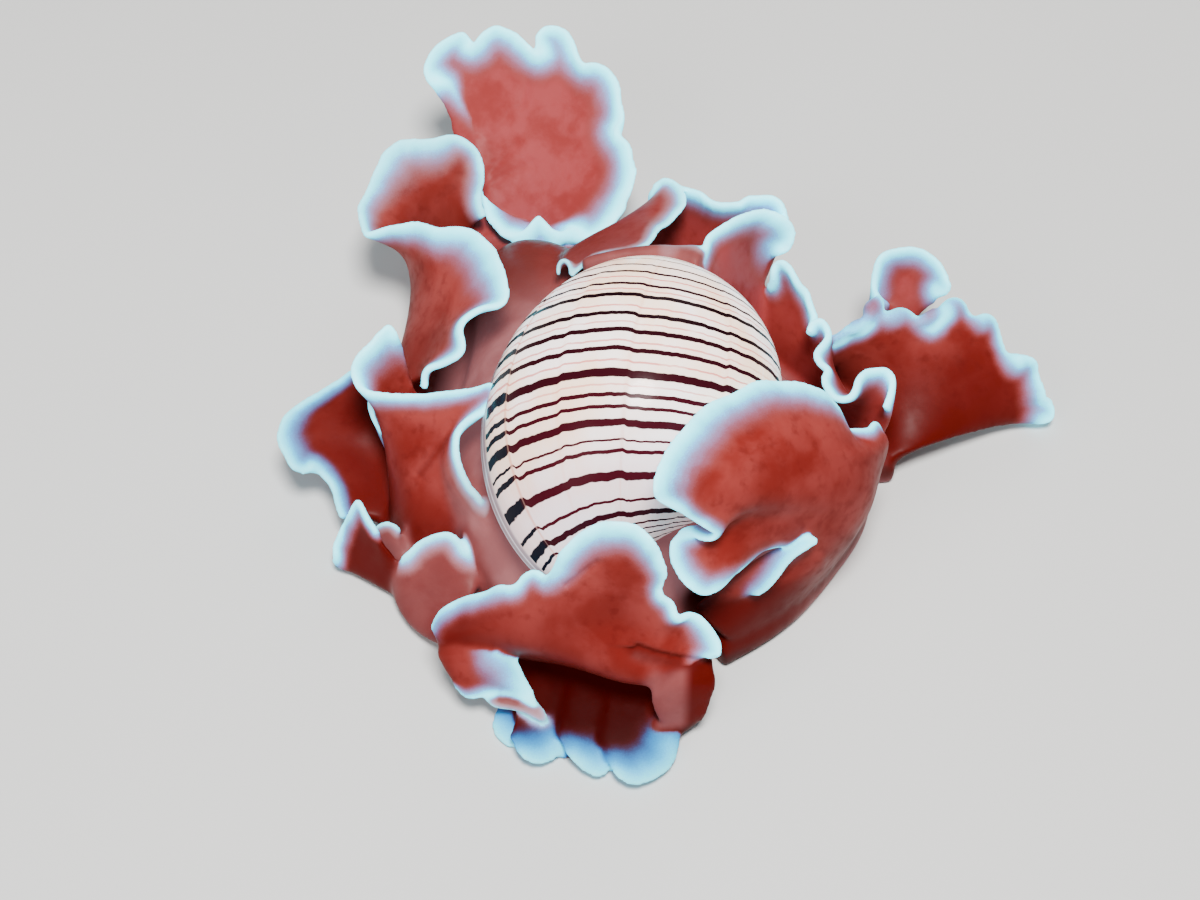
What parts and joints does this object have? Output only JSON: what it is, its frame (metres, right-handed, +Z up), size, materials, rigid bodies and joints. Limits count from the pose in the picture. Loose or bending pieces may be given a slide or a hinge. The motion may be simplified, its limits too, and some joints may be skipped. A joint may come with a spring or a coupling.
{
  "type": "bubble snail",
  "caption": "Live bubble snail: striped oval shell on a broad flat foot, ringed by ruffled lobes with pale rims, head shield in front and fan at the tail.",
  "frame": {"origin": "on the flat sole, under the middle of the shell", "axes": "+Z up, -Y towards the head, +X towards the animal's left side"},
  "size_m": [0.0886, 0.0921, 0.0319],
  "materials": {
    "shell": "thin glossy shell, cream to pinkish white with dark brown spiral lines",
    "flesh": "wet soft skin, brick red with a pale blue-white margin",
    "eye": "tiny black eye, glossy"
  },
  "bodies": {
    "root": {"shell": "shell", "foot": "flesh", "foot_front_edge": "flesh", "foot_ruffle_left": "flesh", "foot_ruffle_right": "flesh", "head_shield": "flesh", "eye_left": "eye", "eye_right": "eye", "parapodium_left_front": "flesh", "parapodium_left_mid": "flesh", "parapodium_left_rear": "flesh", "parapodium_right_front": "flesh", "parapodium_right_mid": "flesh", "parapodium_right_rear": "flesh", "tail_fan": "flesh"}
  },
  "joints": []
}
